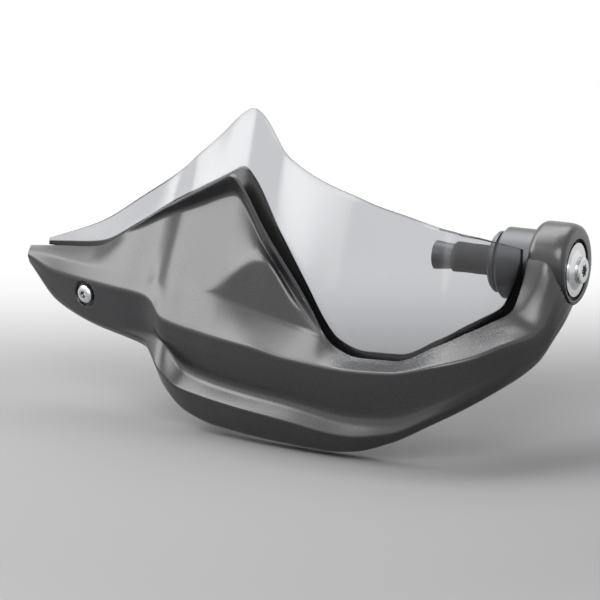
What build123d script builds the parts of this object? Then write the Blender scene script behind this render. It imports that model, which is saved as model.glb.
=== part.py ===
from build123d import *
import os
from math import cos, hypot, radians, sin

# Motorcycle hand guard for the left end of a handlebar.
# Millimetres, +Z up. The handlebar axis is the X axis and the origin is the centre of the
# bar's open end: the bar runs away towards -X, the guard's outer boss stands past it on +X,
# and the front of the guard looks along -Y.

# Overall sizes: the shell's reach along the bar from its end, its drop below the bar's axis and the
# screen's rise above it. The guide lines further down are drawn for these and stretch with them.
guard_reach = 289.0
guard_drop = 101.0
screen_rise = 82.0

# Moulded shell
shell_wall = 3.0
nose_wall = 0.8

# Boss that takes the bar-end screw
boss_diameter = 54.0
boss_length = 23.0
boss_edge_radius = 8.0
boss_back_radius = 5.0
recess_diameter = 36.0
recess_depth = 3.0

# Spacer between the bar and the boss
spacer_length = 27.0
spacer_diameter = 42.0
spacer_chamfer = 1.5
spacer_collar_diameter = 36.0
spacer_collar_length = 3.5
spacer_groove_diameter = 31.0
spacer_groove_length = 2.0

# Bar-end screw, the cone washer under its head and the sleeve that takes the squeeze
end_screw_diameter = 8.0
end_head_diameter = 15.5
end_head_height = 3.0
end_head_edge = 0.8
lobe_count = 6
lobe_circle = 5.4
lobe_diameter = 2.4
lobe_depth = 2.2
cone_rim_diameter = 31.6
cone_rim_height = 2.6
cone_base_diameter = 23.5
cone_top_diameter = 16.0
cone_height = 2.0
boss_sleeve_diameter = 16.0

# Expander that grips the bore of the bar
bar_bore_diameter = 18.0
expander_clearance = 0.2
expander_length = 26.0
wedge_length = 20.0
wedge_overlap = 8.0
wedge_tip_diameter = 12.6
wedge_end_diameter = 17.0

# Handlebar clamp
bar_diameter = 22.2
bar_clearance = 0.05
clamp_x = -178.0
clamp_width = 22.0
clamp_height = 42.0
clamp_front_depth = 19.0
clamp_rear_depth = 16.0
clamp_split = 1.2
clamp_edge_radius = 4.0
clamp_screw_diameter = 6.0
clamp_screw_spread = 31.0
clamp_screw_engagement = 13.0
clamp_head_diameter = 10.0
clamp_head_height = 6.0
clamp_hex = 5.0

# Bracket from the clamp to the wing of the shell
bracket_thickness = 5.0
bracket_width = 20.0
bracket_lug_height = 30.0
bracket_tab_reach = 10.0
bracket_arm_width = 18.0
bracket_arm_drop = 5.0
bracket_corner_radius = 5.0
bracket_screw_diameter = 5.0
bracket_screw_spread = 14.0
bracket_screw_engagement = 6.0
bracket_head_diameter = 9.5
bracket_head_height = 2.8
bracket_hex = 3.0

# Bolt, sleeve and nut that hold the wing to the bracket
wing_bolt_diameter = 6.0
wing_bolt_drop = 9.0
wing_head_diameter = 11.5
wing_head_height = 3.4
wing_hex = 4.0
wing_pocket_diameter = 15.0
wing_pocket_depth = 2.0
wing_post_diameter = 18.0
wing_post_length = 15.0
wing_sleeve_diameter = 9.0
nut_across_flats = 10.0
nut_height = 5.2
wing_washer_diameter = 12.5
wing_washer_thickness = 1.2
thread_run_out = 1.5

# Clear screen behind the shell and its fixings
screen_thickness = 2.6
fixing_screw_diameter = 4.0
fixing_head_diameter = 7.6
fixing_head_height = 2.4
fixing_hex = 2.5
fixing_washer_diameter = 9.6
fixing_washer_thickness = 1.0
fixing_post_diameter = 9.0
fixing_bite = 8.0
fixing_floor = 1.0

# Rounding of a screw head's rim and depth of its socket, as shares of the head's height
button_crown = 0.75
cap_crown = 0.15
socket_share = 0.6

# Turned edges are made of this many short cones, and cuts run past a face by this much
round_steps = 3
cut_run = 1.0

# Distance either side of a fixing over which the screen's slope is taken
slope_step = 1.0

# Clearances
hole_clearance = 0.25
sleeve_clearance = 0.1
seat_clearance = 0.1
washer_clearance = 0.15
thread_clearance = 0.06

# Stations along the front of the shell, from the nose of the wing to the far side of the boss:
# plan position of the roll line and how far the section there has turned from square to the bar.
stations = {
    "nose": (-289, -36, 0),
    "brow": (-268, -44, 0),
    "bolt": (-243, -53, 0),
    "wing": (-218, -59.5, 0),
    "wing_end": (-200, -63, 0),
    "step": (-192, -67, 0),
    "corner": (-184, -72.5, 0),
    "flank": (-169, -77, 0),
    "peak_left": (-155, -80.5, 0),
    "peak": (-148, -82.5, 0),
    "peak_right": (-141, -84, 0),
    "scoop": (-122, -88, 0),
    "rim": (-95, -92, 0),
    "vee_top": (-80, -93.6, 0),
    "vee": (-70, -94.4, 0),
    "sill": (-54, -95, 0),
    "bend": (-30, -93.5, 5),
    "arm_root": (-4, -88, 15),
    "arm": (16, -77, 35),
    "elbow": (30, -62, 55),
    "wrist": (40, -43, 70),
    "palm": (44, -33, 76),
    "boss_edge": (47.2, -24, 82),
    "boss_core": (49.6, -8, 88),
    "boss_tail": (49.8, 8, 91),
}

# Guide lines of the outer skin: inward distance from the roll line and height.
top_edge = {
    "nose": (5, -13), "brow": (13, -11), "bolt": (18, -7.8), "wing": (22, 6.2),
    "wing_end": (26, 18.5), "corner": (29, 27.6), "flank": (31, 36), "peak_left": (33, 44),
    "peak": (33.5, 47.6), "peak_right": (31.5, 42.6), "scoop": (27, 18.6), "rim": (22.5, -12.1),
    "vee_top": (19, -30.7), "vee": (17, -39.7), "sill": (16, -44.5), "bend": (16, -44.3),
    "arm_root": (17, -34.5), "arm": (19, -28.2), "elbow": (19, -24), "wrist": (17, -19),
    "palm": (18, -9), "boss_edge": (18, 12), "boss_core": (16, 16), "boss_tail": (14, 12),
}
dish_line = {
    "nose": (4.4, -13.6), "brow": (10.3, -12.2), "bolt": (14.5, -9.8), "wing": (21.6, 4),
    "wing_end": (28.5, 14), "corner": (33.5, 21), "flank": (37, 27.4), "peak_left": (40, 33.6),
    "peak": (41.5, 36), "peak_right": (40, 32), "scoop": (32.5, 10), "rim": (24.5, -18),
    "vee_top": (18, -33.4), "vee": (15.5, -40.5), "sill": (14.4, -45.1), "bend": (14.4, -44.7),
    "arm_root": (15.4, -35.2), "arm": (17.2, -29), "elbow": (17.2, -24.9), "wrist": (15.4, -20),
    "palm": (13.5, -10.8), "boss_edge": (12, 10), "boss_core": (11, 14), "boss_tail": (10, 10),
}
shoulder_line = {
    "nose": (3.8, -14.2), "brow": (7.3, -13.5), "bolt": (10.5, -12.1), "wing": (16, -3.5),
    "wing_end": (16.5, -4.5), "corner": (20, -7), "flank": (19.4, -15), "peak_left": (18, -13.5),
    "peak": (18, -9.5), "peak_right": (18.4, -5), "scoop": (21, 4), "rim": (20.5, -22),
    "vee_top": (17, -36), "vee": (14, -41.4), "sill": (12.8, -45.6), "bend": (12.8, -45.1),
    "arm_root": (13.8, -35.9), "arm": (15.4, -29.8), "elbow": (15.4, -25.8), "wrist": (13.8, -21),
    "palm": (9, -13), "boss_edge": (6, 7.4), "boss_core": (6, 11), "boss_tail": (6, 7),
}
foot_line = {
    "nose": (2, -15.4), "brow": (4, -15.3), "bolt": (5, -15.3), "wing": (5, -17.1),
    "wing_end": (5.6, -18.4), "step": (9, -18.6), "corner": (16.5, -16), "flank": (19.2, -20.2),
    "peak_left": (24, -24.4), "peak": (26, -26.6), "peak_right": (27.6, -28.6),
    "scoop": (30.4, -33.2), "rim": (23.4, -36), "vee_top": (15.6, -38.8), "vee": (12, -42.6),
    "sill": (11, -46.1), "bend": (11, -45.6), "arm_root": (12, -36.8), "arm": (13.2, -30.9),
    "elbow": (13.2, -27), "wrist": (11.8, -22.4), "palm": (4.8, -16.5), "boss_edge": (2, 3.4),
    "boss_core": (2.5, 7), "boss_tail": (3, 3),
}
roll_line = {
    "nose": (0, -18), "brow": (0, -24), "bolt": (0, -24.5), "wing": (0, -25.3),
    "wing_end": (0, -26.4), "step": (0, -29), "corner": (0, -36.8), "peak": (0, -41),
    "scoop": (0, -42.4), "rim": (0, -46), "sill": (0, -48), "bend": (0, -47.3),
    "arm_root": (0, -42), "arm": (0, -37.4), "elbow": (0, -31.6), "wrist": (0, -28.4),
    "palm": (0.6, -23), "boss_edge": (0.3, -6), "boss_core": (0.4, 0), "boss_tail": (0.8, -4),
}
crease_line = {
    "nose": (1, -20), "brow": (1.4, -31), "bolt": (1, -37), "wing_end": (1, -40),
    "corner": (1, -47.5), "peak": (1, -52), "rim": (1, -55.8), "sill": (1, -58), "bend": (1, -55),
    "arm_root": (1, -48.5), "arm": (0.6, -43), "elbow": (0.6, -38), "wrist": (0.4, -33.4),
    "palm": (0.1, -30), "boss_edge": (0, -15), "boss_core": (0, -9), "boss_tail": (0.4, -10),
}
lip_top = {
    "nose": (2, -22), "brow": (2.6, -38), "bolt": (2, -46.5), "wing_end": (2, -51),
    "step": (3, -50.5), "corner": (4, -54), "flank": (5, -68), "peak": (5, -72.5),
    "rim": (5, -77), "sill": (5, -81.7), "bend": (4, -80), "arm_root": (3, -69), "arm": (2, -58),
    "elbow": (1.8, -50), "wrist": (1, -43), "palm": (0.6, -40), "boss_edge": (0.4, -29),
    "boss_core": (0.8, -19), "boss_tail": (1.6, -15),
}
lip_edge = {
    "nose": (2.6, -23), "brow": (3.2, -40.5), "bolt": (2.6, -49), "wing_end": (1, -54.5),
    "step": (-2, -60), "corner": (-3.5, -67), "flank": (-3, -75.5), "peak": (-3, -78),
    "rim": (-2, -83), "sill": (0, -87.6), "bend": (2, -84.5), "arm_root": (2.4, -73),
    "arm": (2.6, -62), "elbow": (2.4, -53.6), "wrist": (2.2, -46.5), "palm": (1.6, -43.5),
    "boss_edge": (1.8, -36.5), "boss_core": (2.2, -27.5), "boss_tail": (3.4, -20.6),
}
bottom_edge = {
    "nose": (4, -24.6), "brow": (5, -44), "bolt": (6, -52), "wing_end": (6, -61),
    "step": (5, -69), "corner": (5, -80), "flank": (6, -93), "peak": (6, -98), "vee": (6, -101),
    "sill": (6, -99.5), "bend": (6, -92), "arm_root": (6, -79), "arm": (6, -69.5),
    "elbow": (6, -62), "wrist": (6, -55.5), "palm": (5.5, -50.4), "boss_edge": (6.5, -44.4),
    "boss_core": (7, -33.8), "boss_tail": (8.4, -25.4),
}
back_edge = {
    "nose": (7, -24), "brow": (11, -43), "bolt": (14, -51), "wing_end": (16, -59),
    "flank": (20, -88), "peak": (21, -95), "vee": (21, -98), "sill": (21, -97), "bend": (20, -90),
    "arm_root": (20, -77), "arm": (19, -67), "elbow": (18, -60), "wrist": (16, -53.5),
    "palm": (15, -48.4), "boss_edge": (14.5, -42.4), "boss_core": (15, -31.6),
    "boss_tail": (15.5, -23),
}
# How far the hollow between crease and lip lies behind the straight line joining them, and its
# place as a share of the way from crease to lip.
channel_depth = {
    "nose": (0.2,), "wing": (0.2,), "wing_end": (0.4,), "flank": (2.2,), "peak": (2.4,),
    "sill": (2.4,), "bend": (1.8,), "arm_root": (1,), "arm": (0.4,), "wrist": (0.2,),
    "boss_tail": (0.2,),
}
hollow_share = 0.78
# Largest cut back from each corner of the outer skin, in the order the section runs, and the
# largest share of a leg that one cut may take.
corner_cuts = (2.5, 5.0, 4.0, 1.8, 3.0, 3.0, 1.5, 1.5, 4.0)
largest_cut_share = 0.45
# Wall of the moulding, thinner where it closes at the nose.
wall_thickness = {"nose": (nose_wall,), "brow": (shell_wall,), "boss_tail": (shell_wall,)}
section_spacing = 10.0


# Guide lines of the screen's front face, in the same terms. It starts part way along the nose.
screen_top = {
    "screen_start": (13, -8.5), "bolt": (27, 6), "wing": (37, 23), "corner": (54, 50),
    "flank": (60, 64), "peak_left": (64, 78), "peak": (66, 82), "peak_right": (66, 78),
    "scoop": (62, 57), "rim": (54, 47.5), "vee": (48, 42.5), "sill": (46, 38.5),
    "bend": (43, 34.5), "arm_root": (40, 29.5), "arm": (36, 27.5), "elbow": (30, 25.5),
    "wrist": (23.4, 20.5), "screen_end": (20.4, 15.5),
}
screen_knee = {
    "screen_start": (12.9, -10.5), "bolt": (23, -5.5), "wing_end": (36, 14), "corner": (40, 24),
    "flank": (43, 32), "peak": (46, 38), "peak_right": (45, 33), "scoop": (39.5, 12),
    "rim": (31, -12), "vee_top": (27.5, -22), "vee": (26, -24), "bend": (27.5, -22),
    "arm_root": (27.5, -15), "arm": (27.5, -11), "elbow": (26, -8), "wrist": (23, -3),
    "screen_end": (20.8, 5),
}
screen_foot = {
    "screen_start": (12.8, -12.5), "bolt": (21, -12), "wing_end": (28.5, -2), "corner": (33, 0),
    "flank": (34, 0), "peak": (32, 0), "peak_right": (32, -1), "scoop": (34, -3),
    "rim": (28.5, -28), "vee_top": (24, -44), "vee": (22.4, -53), "sill": (21.6, -57),
    "bend": (21.2, -54), "arm_root": (22, -41), "arm": (23.6, -35), "elbow": (23.6, -31),
    "wrist": (22.4, -25), "screen_end": (21, -5),
}
# The screen starts this far from the nose and stops this far short of the boss.
screen_start_gap = 11.0
screen_end_gap = 4.0
# Where the screen is screwed to the shell: station and share of the way from foot to knee.
fixings = (("wing_end", 0.5), ("flank", 0.45), ("peak_right", 0.5), ("sill", 0.16))


def to_size(guide):
    """A guide line with its heights stretched to the overall drop and rise."""
    drop = guard_drop / -bottom_edge["vee"][1]
    rise = screen_rise / screen_top["peak"][1]
    sized = {}
    for name, (inward, height) in guide.items():
        sized[name] = (inward, height * (rise if height > 0 else drop))
    return sized


reach_stretch = guard_reach / -stations["nose"][0]
stations = {name: (x * reach_stretch if x < 0 else x, y, turn) for name, (x, y, turn) in stations.items()}
upper_lines = [to_size(g) for g in (top_edge, dish_line, shoulder_line, foot_line, roll_line, crease_line)]
lower_lines = [to_size(g) for g in (lip_top, lip_edge, bottom_edge, back_edge)]
screen_lines = [to_size(g) for g in (screen_top, screen_knee, screen_foot)]


def distances_along(path):
    """Distance of each station from the first, measured along the roll line seen from above."""
    names = list(path)
    found = {names[0]: 0.0}
    for before, after in zip(names, names[1:]):
        step = hypot(path[after][0] - path[before][0], path[after][1] - path[before][1])
        found[after] = found[before] + step
    return found


along = distances_along(stations)
along["screen_start"] = screen_start_gap
along["screen_end"] = along["boss_edge"] - screen_end_gap


def follow(guide, distance):
    """Values of a guide line at a distance: cubics between its keys that never overshoot them."""
    keys = [(along[name], values) for name, values in guide.items()]
    span = max(i for i in range(len(keys) - 1) if i == 0 or keys[i][0] <= distance)
    (start, from_values), (end, to_values) = keys[span], keys[span + 1]
    t = (distance - start) / (end - start)
    found = []
    for axis, (low, high) in enumerate(zip(from_values, to_values)):
        slopes = [(b[1][axis] - a[1][axis]) / (b[0] - a[0]) for a, b in zip(keys, keys[1:])]
        lean = []
        for key in (span, span + 1):
            left = slopes[max(key - 1, 0)]
            right = slopes[min(key, len(slopes) - 1)]
            lean.append(2 * left * right / (left + right) if left * right > 0 else 0.0)
        value = low * (1 + 2 * t) * (1 - t) ** 2 + high * (3 - 2 * t) * t**2
        value += (end - start) * (lean[0] * t * (1 - t) ** 2 + lean[1] * (t - 1) * t**2)
        found.append(value)
    return found


def in_section(distance, corner):
    """Point of the upright section plane at a distance, from its inward offset and height."""
    x, y, turn = follow(stations, distance)
    inward, height = corner
    return Vector(x - inward * sin(radians(turn)), y + inward * cos(radians(turn)), height)


def skin_corners(distance):
    """Corners of the outer skin, from the top edge round to the back edge."""
    upper = [follow(line, distance) for line in upper_lines]
    lower = [follow(line, distance) for line in lower_lines]
    crease, lip = upper[-1], lower[0]
    depth = follow(channel_depth, distance)[0]
    hollow = [a + (b - a) * hollow_share for a, b in zip(crease, lip)]
    hollow[0] += depth
    return upper + [hollow] + lower


def inset(corners, wall):
    """The same corners moved inward by the wall, each leg staying parallel to itself."""
    normals = []
    for (d0, z0), (d1, z1) in zip(corners, corners[1:]):
        length = hypot(d1 - d0, z1 - z0)
        normals.append(((z0 - z1) / length, (d1 - d0) / length))
    moved = []
    for i, (d, z) in enumerate(corners):
        a = normals[max(i - 1, 0)]
        b = normals[min(i, len(normals) - 1)]
        share = wall / (1 + a[0] * b[0] + a[1] * b[1])
        moved.append((d + share * (a[0] + b[0]), z + share * (a[1] + b[1])))
    return moved


def softened(points, cuts):
    """A line's first point, the start, middle and end of each softened corner, and its last point."""
    row = [points[0]]
    for before, corner, after, cut in zip(points, points[1:], points[2:], cuts):
        arrive = corner + (before - corner) * min(largest_cut_share, cut / (before - corner).length)
        leave = corner + (after - corner) * min(largest_cut_share, cut / (after - corner).length)
        row += [arrive, (arrive + corner * 2 + leave) * 0.25, leave]
    row.append(points[-1])
    return row


def section_places():
    """Distances of the sections: every station, with equal steps between neighbours."""
    marks = [along[name] for name in stations]
    places = [marks[0]]
    for start, end in zip(marks, marks[1:]):
        count = max(1, round((end - start) / section_spacing))
        places += [start + (end - start) * (i + 1) / count for i in range(count)]
    return places


def long_lines(rows, places):
    """Splines through the like points of every section."""
    share = [place / places[-1] for place in places]
    return [Edge.make_spline(list(line), parameters=share) for line in zip(*rows)]


def skin_faces(lines):
    """Faces ruled between each long line and the next."""
    return [Face.make_surface_from_curves(a, b) for a, b in zip(lines, lines[1:])]


def end_cap(faces, distance):
    """Flat face that closes a run of skin faces in the section plane at a distance."""
    origin = in_section(distance, (0, 0))
    turn = radians(follow(stations, distance)[2])
    normal = Vector(cos(turn), sin(turn), 0)
    rim = []
    for edge in ShapeList(faces).edges():
        if all(abs((edge.position_at(t) - origin).dot(normal)) < 0.001 for t in (0, 0.5, 1)):
            rim.append(edge)
    return Face(Wire(rim))


def shell_skin():
    """The moulding's wall, from the nose of the wing to the far side of the boss."""
    places = section_places()
    outer_rows = []
    inner_rows = []
    for distance in places:
        corners = skin_corners(distance)
        wall = follow(wall_thickness, distance)[0]
        outer_rows.append(softened([in_section(distance, c) for c in corners], corner_cuts))
        inner_rows.append([in_section(distance, c) for c in inset(corners, wall)])
    outer = long_lines(outer_rows, places)
    inner = long_lines(inner_rows, places)
    faces = skin_faces(outer) + skin_faces(inner)
    faces += [Face.make_surface_from_curves(outer[side], inner[side]) for side in (0, -1)]
    faces += [end_cap(faces, place) for place in (places[0], places[-1])]
    return Solid(Shell(faces))


def screen_sheet():
    """The bent sheet of the screen before its holes are drilled."""
    start, end = along["screen_start"], along["screen_end"]
    places = [start] + [p for p in section_places() if start < p < end] + [end]
    front_rows = []
    back_rows = []
    for distance in places:
        corners = [follow(line, distance) for line in screen_lines]
        front_rows.append([in_section(distance, c) for c in corners])
        back_rows.append([in_section(distance, c) for c in inset(corners, screen_thickness)])
    front = long_lines(front_rows, places)
    back = long_lines(back_rows, places)
    faces = skin_faces(front) + skin_faces(back)
    faces += [Face.make_surface_from_curves(front[side], back[side]) for side in (0, -1)]
    faces += [end_cap(faces, place) for place in (places[0], places[-1])]
    return Solid(Shell(faces))


def bar_disc(diameter, start, length):
    """Cylinder along the bar axis."""
    rod = Cylinder(diameter / 2, length, align=(Align.CENTER, Align.CENTER, Align.MIN))
    return Pos(start, 0, 0) * Rot(0, 90, 0) * rod


def turned(*outline):
    """Solid turned about the bar axis from a closed outline of (place along the bar, diameter)."""
    return revolve(make_face(Polyline(*[(x, d / 2) for x, d in outline], close=True)), Axis.X)


def rounded_corner(place, diameter, radius, side):
    """Outline points round an outer edge: side is 1 where a length ends and -1 where it begins."""
    points = []
    for step in range(round_steps + 1):
        angle = radians(90 * step / round_steps)
        points.append((place - side * radius * (1 - sin(angle)), diameter - 2 * radius * (1 - cos(angle))))
    return points[::side]


def rod_on(plane, diameter, start, length):
    """Cylinder along a plane's normal, from a height above it."""
    rod = Cylinder(diameter / 2, length, align=(Align.CENTER, Align.CENTER, Align.MIN))
    return plane * Pos(0, 0, start) * rod


def ring_on(plane, outside, inside, start, length):
    """Plain ring about a plane's normal, from a height above it."""
    bore = rod_on(plane, inside, start - cut_run, length + 2 * cut_run)
    return rod_on(plane, outside, start, length) - bore


def hex_on(plane, across_flats, start, length):
    """Hexagonal prism along a plane's normal, from a height above it."""
    outline = RegularPolygon(across_flats / 2, 6, major_radius=False)
    return extrude(plane * Pos(0, 0, start) * outline, length)


def hex_screw(plane, shank, head, height, length, socket, crown):
    """Socket screw with its head standing on the plane and its shank running down from it."""
    rim = rounded_corner(height, head, height * crown, 1)
    body = turned((-length, 0), (-length, shank), (0, shank), (0, head), *rim, (height, 0))
    depth = height * socket_share
    return plane * Rot(0, -90, 0) * body - hex_on(plane, socket, height - depth, 2 * depth)


# Places along the bar where the pieces past its end meet.
boss_start = spacer_length
boss_end = boss_start + boss_length
seat_place = boss_end - recess_depth
cone_end = seat_place + cone_rim_height + cone_height
wedge_start = -expander_length + wedge_overlap
wedge_end = wedge_start - wedge_length
end_screw_bore = end_screw_diameter + 2 * hole_clearance

# Depths behind the wing's front face where the pieces on its bolt meet.
tab_depth = wing_post_length
washer_depth = tab_depth + bracket_thickness
nut_depth = washer_depth + wing_washer_thickness
bolt_end_depth = nut_depth + nut_height + thread_run_out
wing_bolt_bore = wing_bolt_diameter + 2 * hole_clearance


def wing_plane():
    """Plane on the wing's front face at its bolt, looking out along the bolt."""
    here = along["bolt"]
    roll, crease = (follow(line, here) for line in upper_lines[-2:])
    share = wing_bolt_drop / (roll[1] - crease[1])
    centre = in_section(here, [a + (b - a) * share for a, b in zip(roll, crease)])
    run = in_section(along["wing"], roll) - in_section(along["brow"], roll)
    rise = in_section(here, roll) - in_section(here, crease)
    return Plane(centre, x_dir=run, z_dir=run.cross(rise))


def fixing_plane(fixing):
    """Plane on the screen's front face at a fixing, looking out to the shell."""
    name, share = fixing
    centres = []
    for here in (along[name] - slope_step, along[name], along[name] + slope_step):
        knee, foot = (in_section(here, follow(line, here)) for line in screen_lines[1:])
        centres.append(foot + (knee - foot) * share)
    run = centres[2] - centres[0]
    return Plane(centres[1], x_dir=run, z_dir=run.cross(knee - foot))


def post_reach(plane, skin):
    """Length of a moulded post from the screen to the middle of the wall ahead of it."""
    places = [point for point, _ in skin.find_intersection_points(Axis(plane.origin, plane.z_dir))]
    ahead = [(place - plane.origin).dot(plane.z_dir) for place in places]
    return min(distance for distance in ahead if distance > 0) + shell_wall / 2


def guard_shell(skin, sheet):
    """One moulding: walled skin, bar-end boss, bolt post in the wing and posts for the screen."""
    back_edge_points = rounded_corner(boss_start, boss_diameter, boss_back_radius, -1)
    front_edge_points = rounded_corner(boss_end, boss_diameter, boss_edge_radius, 1)
    boss = turned((boss_start, 0), *back_edge_points, *front_edge_points, (boss_end, 0))
    shell = skin + boss
    wing = wing_plane()
    shell += rod_on(wing, wing_post_diameter, -wing_post_length, wing_post_length - shell_wall / 2)
    for fixing in fixings:
        plane = fixing_plane(fixing)
        reach = post_reach(plane, skin)
        post = rod_on(plane, fixing_post_diameter, -screen_thickness / 2, screen_thickness / 2 + reach)
        shell += (post - sheet).solids().sort_by(Axis(plane.origin, plane.z_dir))[-1]
        pilot = fixing_screw_diameter + 2 * thread_clearance
        shell -= rod_on(plane, pilot, -fixing_floor, min(reach, fixing_bite + 2 * fixing_floor))
    shell -= bar_disc(recess_diameter, seat_place, boss_length)
    shell -= bar_disc(boss_sleeve_diameter + 2 * sleeve_clearance, boss_start - cut_run, boss_length)
    shell -= rod_on(wing, wing_pocket_diameter, -wing_pocket_depth, 2 * wing_pocket_depth)
    bore = wing_sleeve_diameter + 2 * sleeve_clearance
    shell -= rod_on(wing, bore, -2 * wing_post_length, 2 * wing_post_length)
    return shell


def smoked_screen(sheet):
    """The sheet with a clearance hole at each fixing."""
    hole = fixing_screw_diameter + 2 * hole_clearance
    for fixing in fixings:
        sheet -= rod_on(fixing_plane(fixing), hole, -2 * screen_thickness, 3 * screen_thickness)
    return sheet


def screen_hardware(skin):
    """The screws and washers at the back of the screen, as two lists."""
    screws = []
    washers = []
    for fixing in fixings:
        front = fixing_plane(fixing)
        back = Plane(front.origin, x_dir=front.x_dir, z_dir=-front.z_dir)
        seat = screen_thickness + washer_clearance
        inside = fixing_screw_diameter + 2 * hole_clearance
        washers.append(ring_on(back, fixing_washer_diameter, inside, seat, fixing_washer_thickness))
        head = seat + fixing_washer_thickness
        bite = min(fixing_bite, post_reach(front, skin) - fixing_floor - seat_clearance)
        screws.append(
            hex_screw(
                back.offset(head), fixing_screw_diameter, fixing_head_diameter, fixing_head_height,
                head + bite, fixing_hex, button_crown,
            )
        )
    return screws, washers


def wing_hardware():
    """Bolt, crush sleeve, washer and nut on the wing's bolt line."""
    wing = wing_plane()
    seat = wing.offset(-wing_pocket_depth)
    length = bolt_end_depth - wing_pocket_depth
    bolt = hex_screw(
        seat, wing_bolt_diameter, wing_head_diameter, wing_head_height, length, wing_hex, button_crown
    )
    sleeve_length = wing_post_length - wing_pocket_depth
    sleeve = ring_on(wing, wing_sleeve_diameter, wing_bolt_bore, -wing_post_length, sleeve_length)
    washer = ring_on(wing, wing_washer_diameter, wing_bolt_bore, -nut_depth, wing_washer_thickness)
    nut = hex_on(wing, nut_across_flats, -nut_depth - nut_height, nut_height)
    thread = wing_bolt_diameter + 2 * thread_clearance
    nut -= rod_on(wing, thread, -nut_depth - nut_height - cut_run, nut_height + 2 * cut_run)
    return bolt, sleeve, washer, nut


def mount_bracket():
    """Bent plate: a lug on the clamp's front, an arm along the wing and a tab on its bolt post."""
    wing = wing_plane()
    lug_front = Plane((clamp_x, -clamp_front_depth, 0), x_dir=(1, 0, 0), z_dir=(0, -1, 0))
    lug_outline = RectangleRounded(bracket_width, bracket_lug_height, bracket_corner_radius)
    lug = extrude(lug_front * lug_outline, bracket_thickness)
    tab = rod_on(wing, bracket_width, -washer_depth, bracket_thickness)
    inner = wing.offset(-tab_depth - bracket_thickness / 2)
    tab_end = Plane(inner.from_local_coords((bracket_tab_reach, 0, 0)), x_dir=wing.z_dir, z_dir=wing.x_dir)
    tab_root = Plane(inner.origin, x_dir=wing.z_dir, z_dir=wing.x_dir)
    lug_edge = (clamp_x - bracket_width / 2, -clamp_front_depth - bracket_thickness / 2, -bracket_arm_drop)
    lug_end = Plane(lug_edge, x_dir=(0, -1, 0), z_dir=(1, 0, 0))
    lug_root = Plane((clamp_x, lug_edge[1], lug_edge[2]), x_dir=(0, -1, 0), z_dir=(1, 0, 0))
    strap = Rectangle(bracket_thickness, bracket_arm_width)
    arm = loft([plane * strap for plane in (tab_root, tab_end, lug_end, lug_root)], ruled=True)
    bracket = lug + tab + arm
    bracket -= rod_on(wing, wing_bolt_bore, -2 * washer_depth, 2 * washer_depth)
    for plane in bracket_screw_planes():
        hole = bracket_screw_diameter + 2 * hole_clearance
        bracket -= rod_on(plane, hole, -2 * bracket_thickness, 3 * bracket_thickness)
    return bracket


def bracket_screw_planes():
    """Planes on the front of the bracket's lug at its screws."""
    front = -clamp_front_depth - bracket_thickness
    places = [(clamp_x, front, side * bracket_screw_spread / 2) for side in (-1, 1)]
    return [Plane(place, x_dir=(1, 0, 0), z_dir=(0, -1, 0)) for place in places]


def clamp_screw_planes():
    """Planes on the back of the clamp at its screws."""
    places = [(clamp_x, clamp_rear_depth, side * clamp_screw_spread / 2) for side in (-1, 1)]
    return [Plane(place, x_dir=(1, 0, 0), z_dir=(0, 1, 0)) for place in places]


def clamp_half(start, end):
    """Block between two depths, rounded on its outer corners and bored for the bar."""
    block = Pos(clamp_x, (start + end) / 2, 0) * Box(clamp_width, abs(end - start), clamp_height)
    outer = block.faces().sort_by(Axis.Y)[0 if end < start else -1]
    block = fillet(outer.edges().filter_by(Axis.X), clamp_edge_radius)
    bore = bar_diameter + 2 * bar_clearance
    return block - bar_disc(bore, clamp_x - clamp_width, 2 * clamp_width)


def clamp_front():
    """Front half, tapped for the clamp screws and for the screws of the bracket."""
    half = clamp_half(-clamp_split / 2, -clamp_front_depth)
    depth = clamp_rear_depth + clamp_split / 2 + clamp_screw_engagement + thread_run_out
    for plane in clamp_screw_planes():
        half -= rod_on(plane, clamp_screw_diameter + 2 * thread_clearance, -depth, depth)
    depth = bracket_thickness + bracket_screw_engagement + thread_run_out
    for plane in bracket_screw_planes():
        half -= rod_on(plane, bracket_screw_diameter + 2 * thread_clearance, -depth, depth)
    return half


def clamp_rear():
    """Rear half, drilled for the clamp screws."""
    half = clamp_half(clamp_split / 2, clamp_rear_depth)
    hole = clamp_screw_diameter + 2 * hole_clearance
    for plane in clamp_screw_planes():
        half -= rod_on(plane, hole, -clamp_rear_depth, 2 * clamp_rear_depth)
    return half


def clamp_screws():
    """Two cap screws from the rear half into the front half."""
    length = clamp_rear_depth + clamp_split / 2 + clamp_screw_engagement
    return [
        hex_screw(
            plane, clamp_screw_diameter, clamp_head_diameter, clamp_head_height, length,
            clamp_hex, cap_crown,
        )
        for plane in clamp_screw_planes()
    ]


def bracket_screws():
    """Two button screws from the bracket's lug into the clamp."""
    length = bracket_thickness + bracket_screw_engagement
    return [
        hex_screw(
            plane, bracket_screw_diameter, bracket_head_diameter, bracket_head_height, length,
            bracket_hex, button_crown,
        )
        for plane in bracket_screw_planes()
    ]


def boss_sleeve():
    """Metal sleeve inside the boss that takes the squeeze of the bar-end screw."""
    return bar_disc(boss_sleeve_diameter, boss_start, seat_place - boss_start) - bar_disc(
        end_screw_bore, boss_start - cut_run, boss_length
    )


def bar_end_spacer():
    """Turned spacer with a collar and a groove at the grip's end."""
    collar = spacer_collar_length
    groove = collar + spacer_groove_length
    body = turned(
        (0, end_screw_bore),
        (0, spacer_collar_diameter - 2 * spacer_chamfer),
        (spacer_chamfer, spacer_collar_diameter),
        (collar, spacer_collar_diameter),
        (collar, spacer_groove_diameter),
        (groove, spacer_groove_diameter),
        (groove, spacer_diameter - 2 * spacer_chamfer),
        (groove + spacer_chamfer, spacer_diameter),
        (spacer_length, spacer_diameter),
        (spacer_length, end_screw_bore),
    )
    return body


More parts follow.
